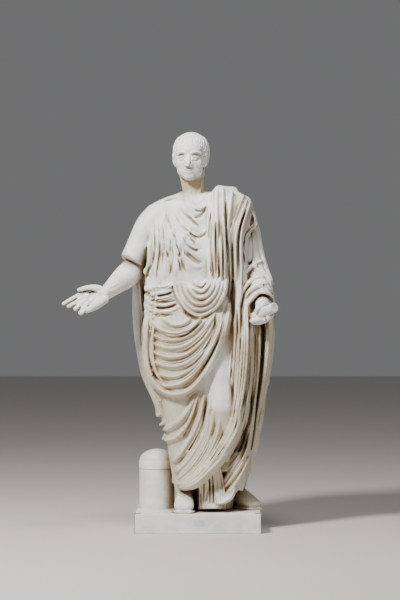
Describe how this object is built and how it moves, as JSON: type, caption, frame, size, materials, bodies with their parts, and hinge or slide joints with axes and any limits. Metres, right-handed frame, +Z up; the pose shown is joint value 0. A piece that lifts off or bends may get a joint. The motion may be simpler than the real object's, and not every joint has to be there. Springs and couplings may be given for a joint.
{
  "type": "standing togate statue",
  "caption": "Marble statue of a man in a toga, right arm held out, rolled scroll in the left hand, on a squared plinth with a round scroll box.",
  "frame": {"origin": "middle of the plinth's underside, on the floor", "axes": "+Z up along the standing figure, -Y the way the figure faces, +X towards the figure's left hand"},
  "size_m": [1.0507, 0.5412, 1.9793],
  "materials": {
    "marble": "honed marble, aged off-white with tan deposits in the folds",
    "steel": "darkened flat strap"
  },
  "bodies": {
    "root": {"statue": "marble", "retaining_strap_left": "steel", "retaining_strap_right": "steel"}
  },
  "joints": []
}
